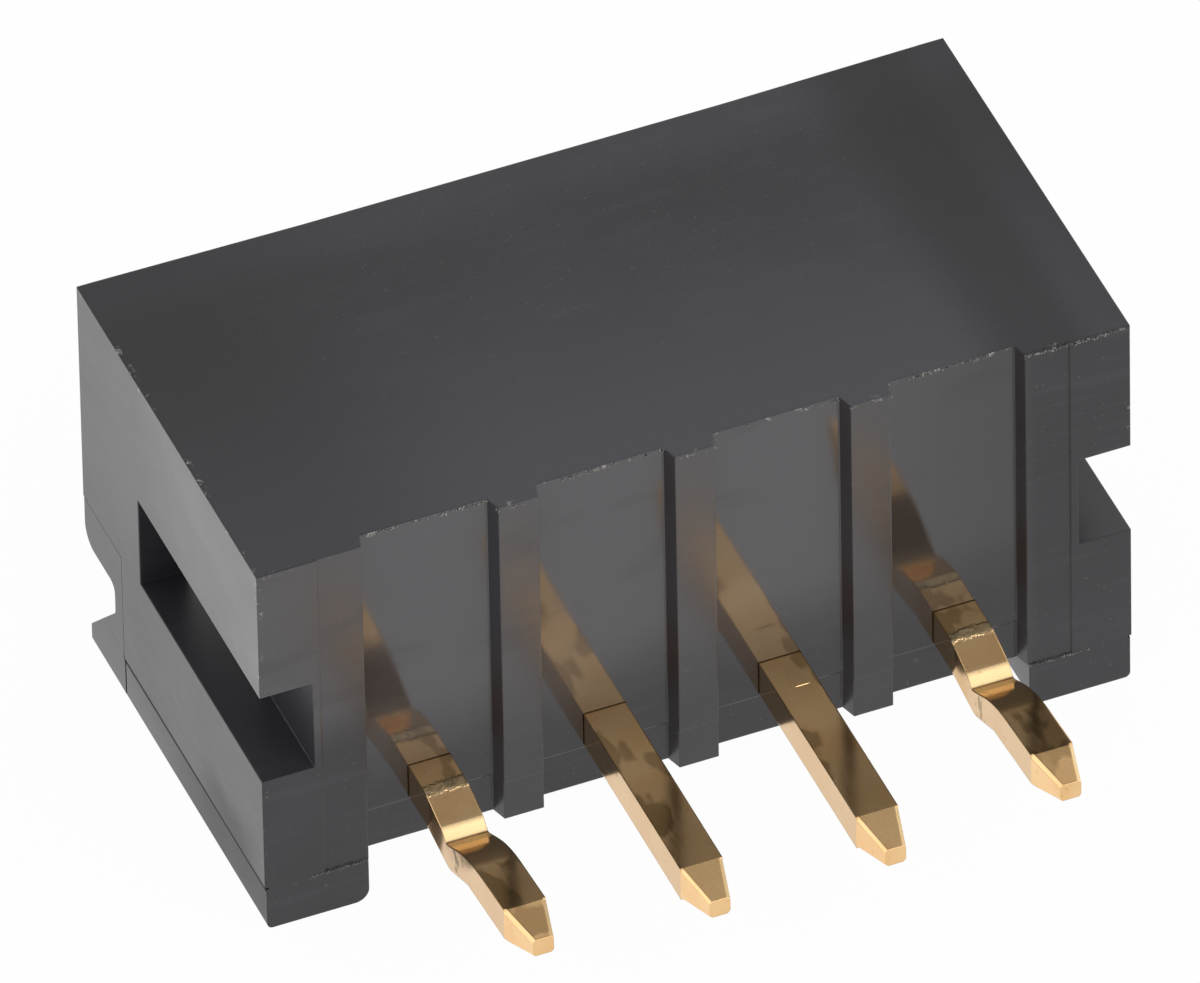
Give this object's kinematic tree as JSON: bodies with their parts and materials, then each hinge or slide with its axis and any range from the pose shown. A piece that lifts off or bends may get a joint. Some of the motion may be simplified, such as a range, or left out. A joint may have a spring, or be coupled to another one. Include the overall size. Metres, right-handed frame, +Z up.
{
  "type": "wire to board connector housing",
  "caption": "Black straight board connector shroud with a row of four square gold pins, two of them with kinked solder tails.",
  "frame": {"origin": "middle of the whole part's box at its base, under the feet", "axes": "+X along the row of contacts, +Y out of the mating mouth with the solder tails towards -Y, +Z up through the long top wall"},
  "size_m": [0.0124, 0.01, 0.0062],
  "materials": {
    "housing_plastic": "satin moulded, near black",
    "contact_gold": "polished gold-coloured plating"
  },
  "bodies": {
    "root": {"housing": "housing_plastic", "contact_pin_1": "contact_gold", "contact_pin_2": "contact_gold", "contact_pin_3": "contact_gold", "contact_pin_4": "contact_gold"}
  },
  "joints": []
}
